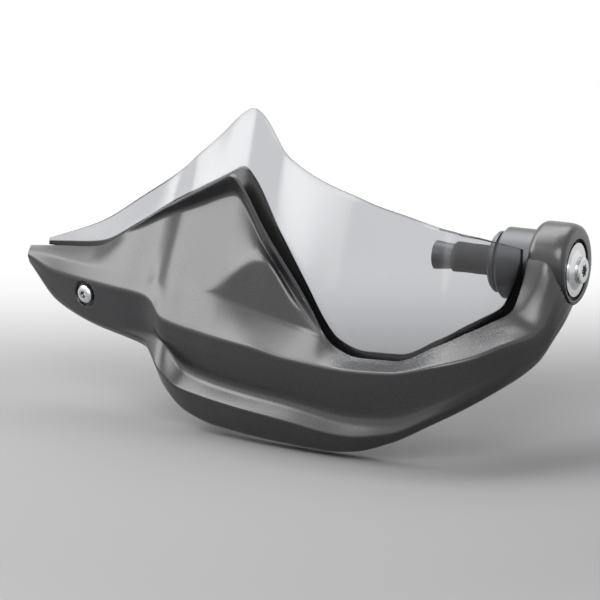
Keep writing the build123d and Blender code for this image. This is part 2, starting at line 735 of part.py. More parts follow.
def cone_washer():
    """Dished washer: a flat rim with a cone standing on it."""
    rim_end = seat_place + cone_rim_height
    return turned(
        (seat_place, end_screw_bore),
        (seat_place, cone_rim_diameter),
        (rim_end, cone_rim_diameter),
        (rim_end, cone_base_diameter),
        (cone_end, cone_top_diameter),
        (cone_end, end_screw_bore),
    )


def bar_end_screw():
    """Long screw with a flat round head and a lobed socket."""
    head = bar_disc(end_head_diameter, cone_end, end_head_height)
    head = chamfer(head.edges().sort_by(Axis.X)[-1], end_head_edge)
    tip = wedge_end - thread_run_out
    screw = head + bar_disc(end_screw_diameter, tip, cone_end - tip)
    floor = cone_end + end_head_height - lobe_depth
    socket = bar_disc(lobe_circle, floor, 2 * lobe_depth)
    for place in PolarLocations(lobe_circle / 2, lobe_count):
        lobe = bar_disc(lobe_diameter, floor, 2 * lobe_depth)
        socket += Pos(0, place.position.X, place.position.Y) * lobe
    return screw - socket


def wedge_diameter(place):
    """Diameter of the wedge's cone at a place along the bar."""
    share = (wedge_start - place) / wedge_length
    return wedge_tip_diameter + (wedge_end_diameter - wedge_tip_diameter) * share


def expander_sleeve():
    """Rubber sleeve in the bar, coned at its far end for the wedge."""
    outside = bar_bore_diameter - 2 * expander_clearance
    seat = wedge_diameter(-expander_length) + 2 * seat_clearance
    return turned(
        (0, end_screw_bore),
        (0, outside),
        (-expander_length, outside),
        (-expander_length, seat),
        (wedge_start, wedge_tip_diameter + 2 * seat_clearance),
        (wedge_start, end_screw_bore),
    )


def expander_nut():
    """Coned nut that the screw draws into the rubber sleeve."""
    thread = end_screw_diameter + 2 * thread_clearance
    tip = wedge_start - seat_clearance
    return turned(
        (tip, thread),
        (tip, wedge_diameter(tip)),
        (wedge_end, wedge_end_diameter),
        (wedge_end, thread),
    )


os.makedirs("parts", exist_ok=True)
skin = shell_skin()
sheet = screen_sheet()
screen_screws, screen_washers = screen_hardware(skin)
wing_bolt, wing_sleeve, wing_washer, wing_nut = wing_hardware()
nodes = {
    "guard_shell": guard_shell(skin, sheet),
    "smoked_screen": smoked_screen(sheet),
    "screen_screws": Compound(screen_screws),
    "screen_washers": Compound(screen_washers),
    "wing_bolt": wing_bolt,
    "wing_sleeve": wing_sleeve,
    "wing_washer": wing_washer,
    "wing_nut": wing_nut,
    "mount_bracket": mount_bracket(),
    "bracket_screws": Compound(bracket_screws()),
    "clamp_front": clamp_front(),
    "clamp_rear": clamp_rear(),
    "clamp_screws": Compound(clamp_screws()),
    "boss_sleeve": boss_sleeve(),
    "bar_end_spacer": bar_end_spacer(),
    "bar_end_screw": bar_end_screw(),
    "cone_washer": cone_washer(),
    "expander_sleeve": expander_sleeve(),
    "expander_nut": expander_nut(),
}
for name, shape in nodes.items():
    export_step(shape, f"parts/{name}.step")
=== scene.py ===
from math import cos, radians, sin

import bpy
import numpy as np
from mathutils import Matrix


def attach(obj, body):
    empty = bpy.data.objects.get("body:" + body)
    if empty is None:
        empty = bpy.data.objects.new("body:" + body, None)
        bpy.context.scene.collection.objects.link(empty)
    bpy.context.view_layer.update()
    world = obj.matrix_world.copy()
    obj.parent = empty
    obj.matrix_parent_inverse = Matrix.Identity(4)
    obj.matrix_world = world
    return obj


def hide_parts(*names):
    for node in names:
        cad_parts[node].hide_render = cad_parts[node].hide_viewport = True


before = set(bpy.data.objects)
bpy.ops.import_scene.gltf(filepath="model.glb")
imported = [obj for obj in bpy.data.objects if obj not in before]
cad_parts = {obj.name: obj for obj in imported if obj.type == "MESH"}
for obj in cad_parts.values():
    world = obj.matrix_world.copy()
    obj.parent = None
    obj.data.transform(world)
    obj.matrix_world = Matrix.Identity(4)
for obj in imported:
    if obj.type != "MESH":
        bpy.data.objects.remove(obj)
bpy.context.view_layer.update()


# Guard shell
# One injection moulding in black-grey nylon with a fine satin grain and a 3 mm wall, thinner at the
# nose. Its section is carried from the nose of the wing, over the dished panel and its lip, into the
# arm and the bar-end boss.
shell_wall = 3.0
nose_wall = 0.8
rim_round = 1.1
fairing = 1.8
# Each station: x and y in millimetres, and the turn of its upright section in degrees.
stations = {
    "nose": (-289, -36, 0),
    "brow": (-268, -44, 0),
    "bolt": (-243, -53, 0),
    "wing": (-218, -59.5, 0),
    "wing_end": (-200, -63, 0),
    "step": (-192, -67, 0),
    "corner": (-184, -72.5, 0),
    "flank": (-169, -77, 0),
    "peak_left": (-155, -80.5, 0),
    "peak": (-148, -82.5, 0),
    "peak_right": (-141, -84, 0),
    "scoop": (-122, -88, 0),
    "rim": (-95, -92, 0),
    "vee_top": (-80, -93.6, 0),
    "vee": (-70, -94.4, 0),
    "sill": (-54, -95, 0),
    "bend": (-30, -93.5, 5),
    "arm_root": (-4, -88, 15),
    "arm": (16, -77, 35),
    "elbow": (30, -62, 55),
    "wrist": (40, -43, 70),
    "palm": (44, -33, 76),
    "boss_edge": (47.2, -24, 82),
    "boss_core": (49.6, -8, 88),
    "boss_tail": (49.8, 8, 91),
}
plan = np.array(list(stations.values()), float)
run = np.concatenate([[0.0], np.cumsum(np.hypot(*np.diff(plan[:, :2], axis=0).T))])
along = dict(zip(stations, run))

# Each guide line, from the top edge down: inward offset and height at its stations, in millimetres.
top_edge = {
    "nose": (5, -13), "brow": (13, -11), "bolt": (18, -7.8), "wing": (22, 6.2),
    "wing_end": (26, 18.5), "corner": (29, 27.6), "flank": (31, 36), "peak_left": (33, 44),
    "peak": (33.5, 47.6), "peak_right": (31.5, 42.6), "scoop": (27, 18.6), "rim": (22.5, -12.1),
    "vee_top": (19, -30.7), "vee": (17, -39.7), "sill": (16, -44.5), "bend": (16, -44.3),
    "arm_root": (17, -34.5), "arm": (19, -28.2), "elbow": (19, -24), "wrist": (17, -19),
    "palm": (18, -6), "boss_edge": (18, 13), "boss_core": (16, 16), "boss_tail": (14, 12),
}
dish_line = {
    "nose": (4.4, -13.6), "brow": (10.3, -12.2), "bolt": (14.5, -9.8), "wing": (21.6, 4),
    "wing_end": (28.5, 14), "corner": (33.5, 21), "flank": (37, 27.4), "peak_left": (40, 33.6),
    "peak": (41.5, 35.4), "peak_right": (39.4, 29.6), "scoop": (31.6, 7), "rim": (24, -20),
    "vee_top": (18.2, -32.3), "vee": (15.5, -40.5), "sill": (14.4, -45.1), "bend": (14.4, -44.7),
    "arm_root": (15.4, -35.2), "arm": (17.2, -29), "elbow": (17.2, -24.9), "wrist": (15.4, -20),
    "palm": (13.5, -6.8), "boss_edge": (12, 12), "boss_core": (11, 14), "boss_tail": (10, 10),
}
shoulder_line = {
    "nose": (3.8, -14.2), "brow": (7.3, -13.5), "bolt": (10.5, -12.1), "wing": (16, -3.5),
    "wing_end": (16.5, -4.5), "corner": (17.2, -7), "flank": (14.4, -14.5),
    "peak_left": (12.7, -17.6), "peak": (15.2, -13), "peak_right": (17.2, -7.2),
    "scoop": (23.6, 5.6), "rim": (21, -23),
    "vee_top": (17.5, -33.8), "vee": (14, -41.4), "sill": (12.8, -45.6), "bend": (12.8, -45.1),
    "arm_root": (13.8, -35.9), "arm": (15.4, -29.8), "elbow": (15.4, -25.8), "wrist": (13.8, -21),
    "palm": (9, -8.4), "boss_edge": (6, 10), "boss_core": (6, 11), "boss_tail": (6, 7),
}
foot_line = {
    "nose": (2, -15.4), "brow": (4, -15.3), "bolt": (5, -15.3), "wing": (5, -17.1),
    "wing_end": (5.6, -18.4), "step": (9, -18.6), "corner": (9, -21), "flank": (10.8, -20.5),
    "peak_left": (12, -19.4), "peak": (12.8, -20.4), "peak_right": (13.7, -21.9),
    "scoop": (16.6, -26.8), "rim": (19, -32.4), "vee_top": (16.4, -35.4), "vee": (12, -42.6),
    "sill": (11, -46.1), "bend": (11, -45.6), "arm_root": (12, -36.8), "arm": (13.2, -30.9),
    "elbow": (13.2, -27), "wrist": (9, -24), "palm": (5, -14.4), "boss_edge": (2.6, 4),
    "boss_core": (2.5, 7), "boss_tail": (3, 3),
}
roll_line = {
    "nose": (0, -18), "brow": (0, -24), "bolt": (0, -24.5), "wing": (0, -25.3),
    "wing_end": (0, -26.4), "step": (0, -29), "corner": (0, -36.8), "peak": (0, -41),
    "scoop": (0, -42.4), "rim": (0, -46), "sill": (0, -48), "bend": (0, -47.3),
    "arm_root": (0, -42), "arm": (0, -37.4), "elbow": (0.4, -31.8), "wrist": (0.6, -29.4),
    "palm": (0.4, -24), "boss_edge": (0, -9), "boss_core": (0.4, 2), "boss_tail": (0.8, -4),
}
crease_line = {
    "nose": (1, -20), "brow": (1.4, -31), "bolt": (1, -37), "wing_end": (1, -40),
    "corner": (1, -47.5), "peak": (1, -52), "rim": (1, -55.8), "sill": (1, -58), "bend": (1, -55),
    "arm_root": (1, -48.5), "arm": (0.6, -43), "elbow": (0.6, -38), "wrist": (0.4, -34.4),
    "palm": (0.1, -31), "boss_edge": (-0.4, -18), "boss_core": (0, -9), "boss_tail": (0.4, -10),
}
lip_top = {
    "nose": (2, -22), "brow": (2.6, -38), "bolt": (2, -46.5), "wing_end": (2, -51),
    "step": (3, -50.5), "corner": (4, -54), "flank": (5, -68), "peak": (5, -72.5),
    "rim": (5, -77), "sill": (5, -81.7), "bend": (4, -80), "arm_root": (3, -69), "arm": (2, -58),
    "elbow": (1.8, -50), "wrist": (1, -43), "palm": (0.6, -40), "boss_edge": (0.4, -29),
    "boss_core": (0.8, -19), "boss_tail": (1.6, -15),
}
lip_edge = {
    "nose": (2.6, -23), "brow": (3.2, -40.5), "bolt": (2.6, -49), "wing_end": (1, -54.5),
    "step": (-2, -60), "corner": (-3.5, -67), "flank": (-3, -75.5), "peak": (-3, -78),
    "rim": (-2, -83), "sill": (0, -87.6), "bend": (2, -84.5), "arm_root": (2.4, -73),
    "arm": (2.6, -62), "elbow": (2.4, -53.6), "wrist": (2.2, -46.5), "palm": (1.6, -43.5),
    "boss_edge": (1.8, -36.5), "boss_core": (2.2, -27.5), "boss_tail": (3.4, -20.6),
}
bottom_edge = {
    "nose": (4, -24.6), "brow": (5, -44), "bolt": (6, -52), "wing_end": (6, -61),
    "step": (5, -69), "corner": (5, -80), "flank": (6, -93), "peak": (6, -98), "vee": (6, -101),
    "sill": (6, -99.5), "bend": (6, -92), "arm_root": (6, -79), "arm": (6, -69.5),
    "elbow": (6, -62), "wrist": (6, -55.5), "palm": (5.5, -50.4), "boss_edge": (6.5, -44.4),
    "boss_core": (7, -33.8), "boss_tail": (8.4, -25.4),
}
back_edge = {
    "nose": (7, -24), "brow": (11, -43), "bolt": (14, -51), "wing_end": (16, -59),
    "flank": (20, -88), "peak": (21, -95), "vee": (21, -98), "sill": (21, -97), "bend": (20, -90),
    "arm_root": (20, -77), "arm": (19, -67), "elbow": (18, -60), "wrist": (16, -53.5),
    "palm": (15, -48.4), "boss_edge": (14.5, -42.4), "boss_core": (15, -31.6),
    "boss_tail": (15.5, -23),
}
channel_depth = {
    "nose": (0.2,), "wing": (0.2,), "wing_end": (0.4,), "flank": (2.2,), "peak": (2.4,),
    "sill": (2.4,), "bend": (1.8,), "arm_root": (1,), "arm": (0.4,), "wrist": (0.2,),
    "boss_tail": (0.2,),
}
hollow_share = 0.78
wall_thickness = {"nose": (nose_wall,), "brow": (shell_wall,), "boss_tail": (shell_wall,)}


def follow(guide, at):
    """Guide values at distances along the shell: a cubic between each pair of keys, whose slope at a
    key is the harmonic mean of the slopes either side, or level where they differ in sign."""
    keys = np.array([along[name] for name in guide])
    values = np.array([guide[name] for name in guide], float)
    width = np.diff(keys)[:, None]
    slopes = np.diff(values, axis=0) / width
    before, after = np.vstack([slopes[:1], slopes]), np.vstack([slopes, slopes[-1:]])
    same = before * after > 0
    lean = np.where(same, 2 * before * after / np.where(same, before + after, 1), 0)
    span = np.clip(np.searchsorted(keys, at, side="right") - 1, 0, len(keys) - 2)
    w = width[span]
    t = (at - keys[span])[:, None] / w
    level = values[span] * (1 + 2 * t) * (1 - t) ** 2 + values[span + 1] * (3 - 2 * t) * t**2
    return level + w * (lean[span] * t * (1 - t) ** 2 + lean[span + 1] * (t - 1) * t**2)


def fair(guide, at, width=fairing):
    """A guide sampled about every millimetre, averaged under a bell curve of the given width that is
    cut off at four widths, with its ends held by an odd reflection, and read off at the distances."""
    keys = [along[name] for name in guide]
    even = np.linspace(keys[0], keys[-1], int(keys[-1] - keys[0]) + 2)
    values = follow(guide, even)
    reach = int(4 * width)
    bell = np.exp(-0.5 * (np.arange(-reach, reach + 1) / width) ** 2)
    weights = bell / bell.sum()
    ahead = 2 * values[0] - values[reach:0:-1]
    behind = 2 * values[-1] - values[-2 : -reach - 2 : -1]
    padded = np.vstack([ahead, values, behind])
    soft = np.stack([np.convolve(column, weights, mode="valid") for column in padded.T], axis=1)
    return np.stack([np.interp(at, even, column) for column in soft.T], axis=1)


def in_section(at, corners):
    """Points of the upright section planes: inward offset and height turned by each plane's angle."""
    x, y, turn = fair(stations, at).T
    turn = np.radians(turn)[:, None]
    inward, height = corners[..., 0], corners[..., 1]
    x = x[:, None] - inward * np.sin(turn)
    y = y[:, None] + inward * np.cos(turn)
    return np.stack([x, y, height], axis=-1)


def inset(corners, wall):
    """Corner lines moved square to their legs by the wall, with mitred corners."""
    legs = np.diff(corners, axis=1)
    legs /= np.linalg.norm(legs, axis=2, keepdims=True)
    normal = np.stack([-legs[..., 1], legs[..., 0]], axis=-1)
    a = np.concatenate([normal[:, :1], normal], axis=1)
    b = np.concatenate([normal, normal[:, -1:]], axis=1)
    share = wall[:, None, None] / (1 + (a * b).sum(axis=2, keepdims=True))
    return corners + share * (a + b)


leg_share = 0.45


def towards(corner, other, distance):
    """The point at a distance from a corner on the line to another point, or leg_share of the way
    there where that is nearer."""
    gap = other - corner
    length = np.linalg.norm(gap, axis=-1, keepdims=True)
    return corner + gap * np.minimum(leg_share, distance / length)


def softened(corners, cuts, bend_steps, leg_steps):
    """Corner lines with each inner corner turned into a parabola between the two points at its cut's
    distance, and each straight leg divided evenly."""
    rows = [corners[:, :1]]
    last = corners[:, :1]
    t = np.linspace(0, 1, bend_steps)[None, :, None]
    for i, cut in enumerate(cuts, 1):
        before, corner, after = (corners[:, k : k + 1] for k in (i - 1, i, i + 1))
        arrive, leave = towards(corner, before, cut), towards(corner, after, cut)
        s = np.linspace(0, 1, leg_steps[i - 1] + 1)[None, 1:-1, None]
        leg = last + (arrive - last) * s
        bend = arrive * (1 - t) ** 2 + corner * 2 * t * (1 - t) + leave * t**2
        rows += [leg, bend]
        last = leave
    s = np.linspace(0, 1, leg_steps[-1] + 1)[None, 1:, None]
    rows.append(last + (corners[:, -1:] - last) * s)
    return np.concatenate(rows, axis=1)


def rounded_rim(outer_end, inner_end, outer_next, inner_next):
    """The edge of a wall: the straight line from one skin to the other, with each corner cut back by
    rim_round to both sides and one point between, a quarter of each cut and half of the corner."""
    points = []
    for corner, back, on in ((outer_end, outer_next, inner_end), (inner_end, outer_end, inner_next)):
        first, last = towards(corner, back, rim_round), towards(corner, on, rim_round)
        points += [first, 0.25 * first + 0.5 * corner + 0.25 * last, last]
    return np.stack(points, axis=1)


millimetre = 0.001
sharp_angle = radians(42)


def surface(name, grids):
    """One mesh from tubes: each grid is rings of points, joined ring to ring and round each ring, with
    a flat face over the first and last ring. Faces are turned so that the volume is positive."""
    corners, loops, counts = [], [], []
    start = 0
    for grid in grids:
        rings, size = grid.shape[:2]
        index = np.arange(rings * size).reshape(rings, size)
        turn = np.roll(index, -1, axis=1)
        quads = np.stack([index[:-1], turn[:-1], turn[1:], index[1:]], axis=-1).reshape(-1, 4)
        a, b, c, d = (grid.reshape(-1, 3)[quads[:, k]] for k in range(4))
        volume = (np.cross(b - a, c - a) * a).sum() + (np.cross(c - a, d - a) * a).sum()
        caps = [index[0, ::-1], index[-1]]
        if volume < 0:
            quads, caps = quads[:, ::-1], [cap[::-1] for cap in caps]
        corners.append(grid.reshape(-1, 3))
        loops += [quads.ravel() + start] + [cap + start for cap in caps]
        counts += [np.full(len(quads), 4), np.array([size, size])]
        start += rings * size
    corners, loops, counts = (np.concatenate(part) for part in (corners, loops, counts))
    loop_starts = np.concatenate([[0], np.cumsum(counts)[:-1]])
    mesh = bpy.data.meshes.new(name)
    mesh.vertices.add(len(corners))
    mesh.vertices.foreach_set("co", (corners * millimetre).ravel().astype(np.float32))
    mesh.loops.add(len(loops))
    mesh.loops.foreach_set("vertex_index", loops.astype(np.int32))
    mesh.polygons.add(len(counts))
    mesh.polygons.foreach_set("loop_start", loop_starts.astype(np.int32))
    mesh.update(calc_edges=True)
    mesh.validate()
    mesh.shade_smooth()
    mesh.set_sharp_from_angle(angle=sharp_angle)
    piece = bpy.data.objects.new(name, mesh)
    bpy.context.scene.collection.objects.link(piece)
    return piece


def turned(profile, origin, axis, steps=96):
    """Rings of an outline of (height, radius) turned about an axis: each outline point is carried
    round a circle square to the axis, and those circles are the rings."""
    axis = np.asarray(axis, float) / np.linalg.norm(axis)
    side = np.cross(axis, (0.0, 0.0, 1.0))
    side /= np.linalg.norm(side)
    up = np.cross(axis, side)
    angle = np.linspace(0, 2 * np.pi, steps, endpoint=False)[None, :, None]
    height, radius = np.asarray(profile, float).T[:, :, None, None]
    circle = np.cos(angle) * side + np.sin(angle) * up
    return np.asarray(origin, float) + height * axis + radius * circle


def soft_outline(points, cuts, steps):
    """An outline of (height, radius) points with each inner corner turned into a parabola."""
    corners = np.array(points, float)[None]
    return softened(corners, cuts, steps, [1] * (len(points) - 1))[0]


shell_rings = 270
outer_cuts = (2.5, 4.5, 2.2, 1.8, 3.0, 3.0, 1.5, 1.5, 4.0)
outer_steps = (4, 10, 4, 6, 8, 12, 16, 4, 6, 5)
inner_cuts = (2.0, 3.0, 3.0, 2.0, 2.0, 3.0, 1.5, 1.2, 3.0)
inner_steps = (2, 4, 2, 3, 3, 3, 3, 2, 3, 2)
bolt_drop = 9.0
pocket_radius, pocket_depth, pocket_edge = 7.6, 2.0, 0.8
near_bolt, near_bolt_step = 9.0, 0.4
boss_start, boss_end, boss_radius = 27.0, 50.0, 27.0
recess_floor, recess_radius, bore_radius = 47.0, 18.0, 8.1
sink_margin, sink_edge, sink_depth = 1.6, 1.0, 1.0


def bolt_line():
    """Centre of the wing's bolt, bolt_drop down the line from roll to crease, and the outward
    direction, which is the cross product of the wing's run along the roll and that line."""
    here = np.array([along["bolt"]])
    roll, crease = follow(roll_line, here), follow(crease_line, here)
    share = bolt_drop / (roll[0, 1] - crease[0, 1])
    ends = np.array([along["brow"], along["wing"]])
    plane_run = np.diff(in_section(ends, np.repeat(roll[None], 2, axis=0))[:, 0], axis=0)[0]
    upper, lower = (in_section(here, corner[None])[0, 0] for corner in (roll, crease))
    outward = np.cross(plane_run, upper - lower)
    return upper + (lower - upper) * share, outward / np.linalg.norm(outward)


def shell_grid():
    """Rings of the shell's wall: top rim, outer skin, back rim and inner skin of each section. The
    round pocket of the wing's bolt is pressed in by a smooth step of the distance from the bolt's
    axis, and what lies within the boss's recess is pushed back to sink_depth behind its floor."""
    fine = along["bolt"] + np.arange(-near_bolt, near_bolt + 0.1, near_bolt_step)
    at = np.unique(np.concatenate([np.linspace(0, run[-1], shell_rings), fine]))
    lines = (top_edge, dish_line, shoulder_line, foot_line, roll_line, crease_line)
    upper = np.stack([fair(line, at) for line in lines], axis=1)
    lines = (lip_top, lip_edge, bottom_edge, back_edge)
    lower = np.stack([fair(line, at) for line in lines], axis=1)
    hollow = upper[:, -1:] + hollow_share * (lower[:, :1] - upper[:, -1:])
    hollow[:, :, 0] += fair(channel_depth, at)
    corners = np.concatenate([upper, hollow, lower], axis=1)
    inner_corners = inset(corners, fair(wall_thickness, at)[:, 0])
    outer = softened(corners, outer_cuts, bend_steps=8, leg_steps=outer_steps)
    inner = softened(inner_corners, inner_cuts, bend_steps=4, leg_steps=inner_steps)
    top_rim = rounded_rim(inner[:, 0], outer[:, 0], inner[:, 1], outer[:, 1])
    back_rim = rounded_rim(outer[:, -1], inner[:, -1], outer[:, -2], inner[:, -2])
    ring = np.concatenate([top_rim, outer[:, 1:-1], back_rim, inner[:, -2:0:-1]], axis=1)
    points = in_section(at, ring)
    offset = points - bolt_centre
    depth = offset @ bolt_axis
    radius = np.linalg.norm(offset - depth[..., None] * bolt_axis, axis=-1)
    press = np.clip((pocket_radius - radius) / pocket_edge + 0.5, 0, 1)
    press = press**2 * (3 - 2 * press) * (np.abs(depth) < shell_wall / 2)
    points -= (press * pocket_depth)[..., None] * bolt_axis
    from_bar = np.hypot(points[..., 1], points[..., 2])
    sunk = recess_floor - sink_depth
    sink = np.clip((recess_radius + sink_margin - from_bar) / sink_edge, 0, 1)
    sink *= points[..., 0] > sunk
    points[..., 0] += sink * (sunk - points[..., 0])
    return points


boss_outline = soft_outline(
    [
        (recess_floor, bore_radius),
        (recess_floor, recess_radius),
        (boss_end, recess_radius),
        (boss_end, boss_radius),
        (boss_start, boss_radius),
        (boss_start, bore_radius),
    ],
    cuts=(0.4, 0.6, 8.0, 5.0),
    steps=9,
)
boss_outline = np.vstack([boss_outline, boss_outline[:1]])
rim_left, under_drawn, arm_drawn = 1.0, 0.72, 0.95
arm_direction = np.array([-0.68, -0.73])


def boss_grid():
    """Rings of the boss: its outline turned about the bar, with the rim outside the recess drawn in
    towards the recess. The share is the larger of one that goes with the square of the downward
    cosine and one that goes with the power 1.5 of the cosine towards the arm."""
    points = turned(boss_outline, (0, 0, 0), (1, 0, 0))
    radius = np.hypot(points[..., 1], points[..., 2])
    down = np.clip(-points[..., 2] / radius, 0, 1)
    to_arm = np.clip(points[..., 1:] @ arm_direction / radius, 0, 1)
    beyond = np.clip(radius - recess_radius - rim_left, 0, None)
    drawn = np.maximum(under_drawn * down**2, arm_drawn * to_arm**1.5)
    points[..., 1:] *= (1 - beyond * drawn / radius)[..., None]
    return points


bolt_centre, bolt_axis = bolt_line()
post_radius, post_bore, post_bevel = 9.0, 4.6, 0.4
post_front, post_back = -2.6, -15.0
post_outline = [
    (post_front, post_bore),
    (post_front, post_radius),
    (post_back + post_bevel, post_radius),
    (post_back, post_radius - post_bevel),
    (post_back, post_bore),
    (post_front, post_bore),
]
screen_post_radius, screen_post_bore = 4.5, 2.2
# For each screw of the screen: a point on its axis, the axis, and where its post starts and ends.
screen_posts = (
    ((-200.93, -35.08, 8.00), (0.191, 0.891, -0.411), -1.2, 4.8),
    ((-169.76, -42.06, 15.28), (0.228, 0.937, -0.266), -1.2, 3.2),
    ((-141.42, -49.38, 17.49), (0.100, 0.929, -0.357), -1.2, 4.1),
    ((-54.10, -80.52, -50.47), (0.013, 0.989, -0.148), -1.0, 7.9),
)


def screen_post(origin, axis, wall_end, screen_end):
    """Rings of one tubular post from the shell's wall back to the screen, about its screw's axis."""
    outline = [
        (wall_end, screen_post_bore),
        (wall_end, screen_post_radius),
        (screen_end, screen_post_radius),
        (screen_end, screen_post_bore),
        (wall_end, screen_post_bore),
    ]
    return turned(outline, origin, axis, steps=40)


shell = surface(
    "shell_moulding",
    [
        shell_grid(),
        boss_grid(),
        turned(post_outline, bolt_centre, bolt_axis, steps=48),
        *(screen_post(*post) for post in screen_posts),
    ],
)


class Shade:
    """One output of a shader node. Arithmetic on it adds Math nodes, and make() adds any other."""

    def __init__(self, tree, socket=None):
        self.tree = tree
        self.socket = socket

    def make(self, kind, settings=None, values=None, out=0):
        """Adds a node: its settings first, then its sockets' values or links. The output that is
        taken is given by its number or name."""
        node = self.tree.nodes.new("ShaderNode" + kind)
        for key, value in (settings or {}).items():
            setattr(node, key, value)
        for key, value in (values or {}).items():
            self.feed(node.inputs[key], value)
        return Shade(self.tree, node.outputs[out])

    def feed(self, target, value):
        """Links a Shade to a socket, or sets a plain value on it."""
        if isinstance(value, Shade):
            self.tree.links.new(value.socket, target)
        else:
            target.default_value = value

    def math(self, operation, a, b):
        """One Math node on two values."""
        return self.make("Math", {"operation": operation}, {0: a, 1: b})

    def __add__(self, other):
        return self.math("ADD", self, other)

    __radd__ = __add__

    def __mul__(self, other):
        return self.math("MULTIPLY", self, other)

    __rmul__ = __mul__

    def mix(self, low, high):
        """Colour that goes from low to high as this value goes from 0 to 1."""
        return self.make("Mix", {"data_type": "RGBA"}, {0: self, 6: low, 7: high}, 2)

    def smooth(self, start, end):
        """Value that goes from 0 to 1, with level ends, as this value goes from start to end."""
        values = {"Value": self, "From Min": start, "From Max": end}
        return self.make("MapRange", {"interpolation_type": "SMOOTHSTEP"}, values)

    def noise(self, scale, detail):
        """Soft noise between 0 and 1 that is fixed to the piece."""
        place = self.make("TexCoord", out="Object")
        return self.make("TexNoise", values={"Vector": place, "Scale": scale, "Detail": detail})


def finish(name, **constants):
    """A new material with one Principled shader, its constants by socket name, and a Shade for it."""
    material = bpy.data.materials.new(name)
    material.use_nodes = True
    tree = material.node_tree
    shader = tree.nodes["Principled BSDF"]
    for socket, value in constants.items():
        shader.inputs[socket.replace("_", " ")].default_value = value
    return material, Shade(tree), shader


def wear(piece, material):
    """Gives a piece one material all over."""
    piece.data.materials.clear()
    piece.data.materials.append(material)


nylon_dark, nylon_light = (0.018, 0.0187, 0.0205, 1), (0.024, 0.0248, 0.027, 1)
satin_grey, shade, shader = finish("satin_nylon", Specular_IOR_Level=0.85)
clouds = shade.noise(scale=14.0, detail=3.0)
grain = shade.noise(scale=2600.0, detail=2.0)
shade.feed(shader.inputs["Base Color"], clouds.mix(nylon_dark, nylon_light))
shade.feed(shader.inputs["Roughness"], clouds * 0.05 + grain * 0.04 + 0.23)
pebble = shade.make("Bump", values={"Strength": 0.12, "Distance": 0.0002, "Height": grain})
shade.feed(shader.inputs["Normal"], pebble)
wear(shell, satin_grey)
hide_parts("guard_shell")
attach(shell, "root")


# Smoked screen
# A 2.6 mm sheet of clear smoke-tinted polycarbonate, bent over its height and following the shell
# from the wing to the boss. Screws through its foot hold it behind the shell.
# The sheet's foot is painted black below a line just over the shell's top: painted shade for the dark
# gap behind the shell's edge.
screen_thickness, knee_bend = 2.6, 14.0
screen_fairing, screen_rings = 2.0, 360
shade_band_rise, shade_band_fade = 1.5, 0.4
along["screen_start"] = 11.0
along["screen_end"] = along["boss_edge"] - 4.0
screen_top = {
    "screen_start": (13, -8.5), "bolt": (27, 6), "wing": (37, 23), "corner": (54, 50),
    "flank": (60, 64), "peak_left": (64, 78), "peak": (66, 82), "peak_right": (66, 78),
    "scoop": (62, 57), "rim": (54, 47.5), "vee": (48, 42.5), "sill": (46, 38.5),
    "bend": (43, 34.5), "arm_root": (40, 29.5), "arm": (36, 27.5), "elbow": (30, 25.5),
    "wrist": (23.4, 20.5), "screen_end": (20.4, 15.5),
}
screen_knee = {
    "screen_start": (12.9, -10.5), "bolt": (23, -5.5), "wing_end": (36, 14), "corner": (40, 24),
    "flank": (43, 32), "peak": (46, 38), "peak_right": (45, 33), "scoop": (39.5, 12),
    "rim": (31, -12), "vee_top": (27.5, -22), "vee": (26, -24), "bend": (27.5, -22),
    "arm_root": (27.5, -15), "arm": (27.5, -11), "elbow": (26, -8), "wrist": (23, -3),
    "screen_end": (20.8, 5),
}
screen_foot = {
    "screen_start": (12.8, -12.5), "bolt": (21, -12), "wing_end": (28.5, -2), "corner": (33, 0),
    "flank": (34, 0), "peak": (32, 0), "peak_right": (32, -1), "scoop": (34, -3),
    "rim": (28.5, -28), "vee_top": (24, -44), "vee": (22.4, -53), "sill": (21.6, -57),
    "bend": (21.2, -54), "arm_root": (22, -41), "arm": (23.6, -35), "elbow": (23.6, -31),
    "wrist": (22.4, -30), "screen_end": (21, -14),
}


def screen_grid():
    """Rings of the bent sheet: the front line of each section runs straight from top to knee and from
    knee to foot with a wide soft bend between, and the back line is set behind it by the thickness.
    With them comes each point's depth below the edge of a black band of painted shade over the sheet's
    foot, standing in for the dark gap between screen and shell; that edge lies the band's rise over
    the shell's top."""
    at = np.linspace(along["screen_start"], along["screen_end"], screen_rings)
    lines = (screen_top, screen_knee, screen_foot)
    corners = np.stack([fair(line, at, screen_fairing) for line in lines], axis=1)
    front = softened(corners, (knee_bend,), bend_steps=15, leg_steps=(14, 18))
    back = inset(front, np.full(len(at), screen_thickness))
    top_rim = rounded_rim(back[:, 0], front[:, 0], back[:, 1], front[:, 1])
    foot_rim = rounded_rim(front[:, -1], back[:, -1], front[:, -2], back[:, -2])
    ring = np.concatenate([top_rim, front[:, 1:-1], foot_rim, back[:, -2:0:-1]], axis=1)
    below = fair(top_edge, at)[:, 1:] + shade_band_rise - ring[..., 1]
    return in_section(at, ring), below


def mottled(shade, shader, pattern, dark, light, roughness, spread):
    """Colour from dark to light, and roughness up by the spread, as the pattern goes from 0 to 1."""
    shade.feed(shader.inputs["Base Color"], pattern.mix(dark, light))
    shade.feed(shader.inputs["Roughness"], pattern * spread + roughness)


